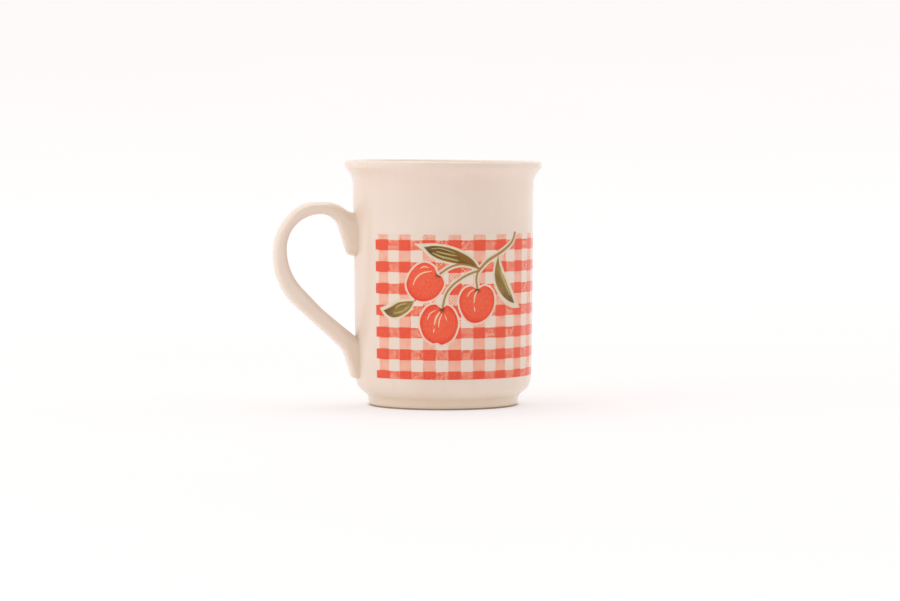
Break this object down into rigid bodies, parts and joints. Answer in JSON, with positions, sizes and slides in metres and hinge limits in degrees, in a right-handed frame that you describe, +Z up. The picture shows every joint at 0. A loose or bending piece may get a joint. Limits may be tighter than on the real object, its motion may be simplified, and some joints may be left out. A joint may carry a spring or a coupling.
{
  "type": "mug",
  "caption": "Straight-sided ceramic mug with a flared rim, a turned foot ring, a strap handle and a printed check and fruit sprig.",
  "frame": {"origin": "centre of the foot ring's bearing plane, on the cup's axis", "axes": "+Z up along the cup's axis; the handle is on -X, so X is the longest extent"},
  "size_m": [0.1056, 0.0772, 0.096],
  "materials": {
    "biscuit": "matt unglazed earthenware",
    "slip": "matt dried clay slip",
    "glaze": "glossy transparent glaze over cream clay",
    "check_ink": "fired transfer print, salmon red woven check",
    "fruit_ink": "fired transfer print, cherry red",
    "leaf_ink": "fired transfer print, olive",
    "stem_ink": "fired transfer print, dark olive"
  },
  "bodies": {
    "root": {"cup_body": "biscuit", "handle": "biscuit", "upper_luting_slip": "slip", "lower_luting_slip": "slip", "outside_glaze": "glaze", "lining_glaze": "glaze", "recess_glaze": "glaze", "handle_glaze": "glaze", "check_print": "check_ink", "fruit_print": "fruit_ink", "leaf_print": "leaf_ink", "stem_print": "stem_ink"}
  },
  "joints": []
}
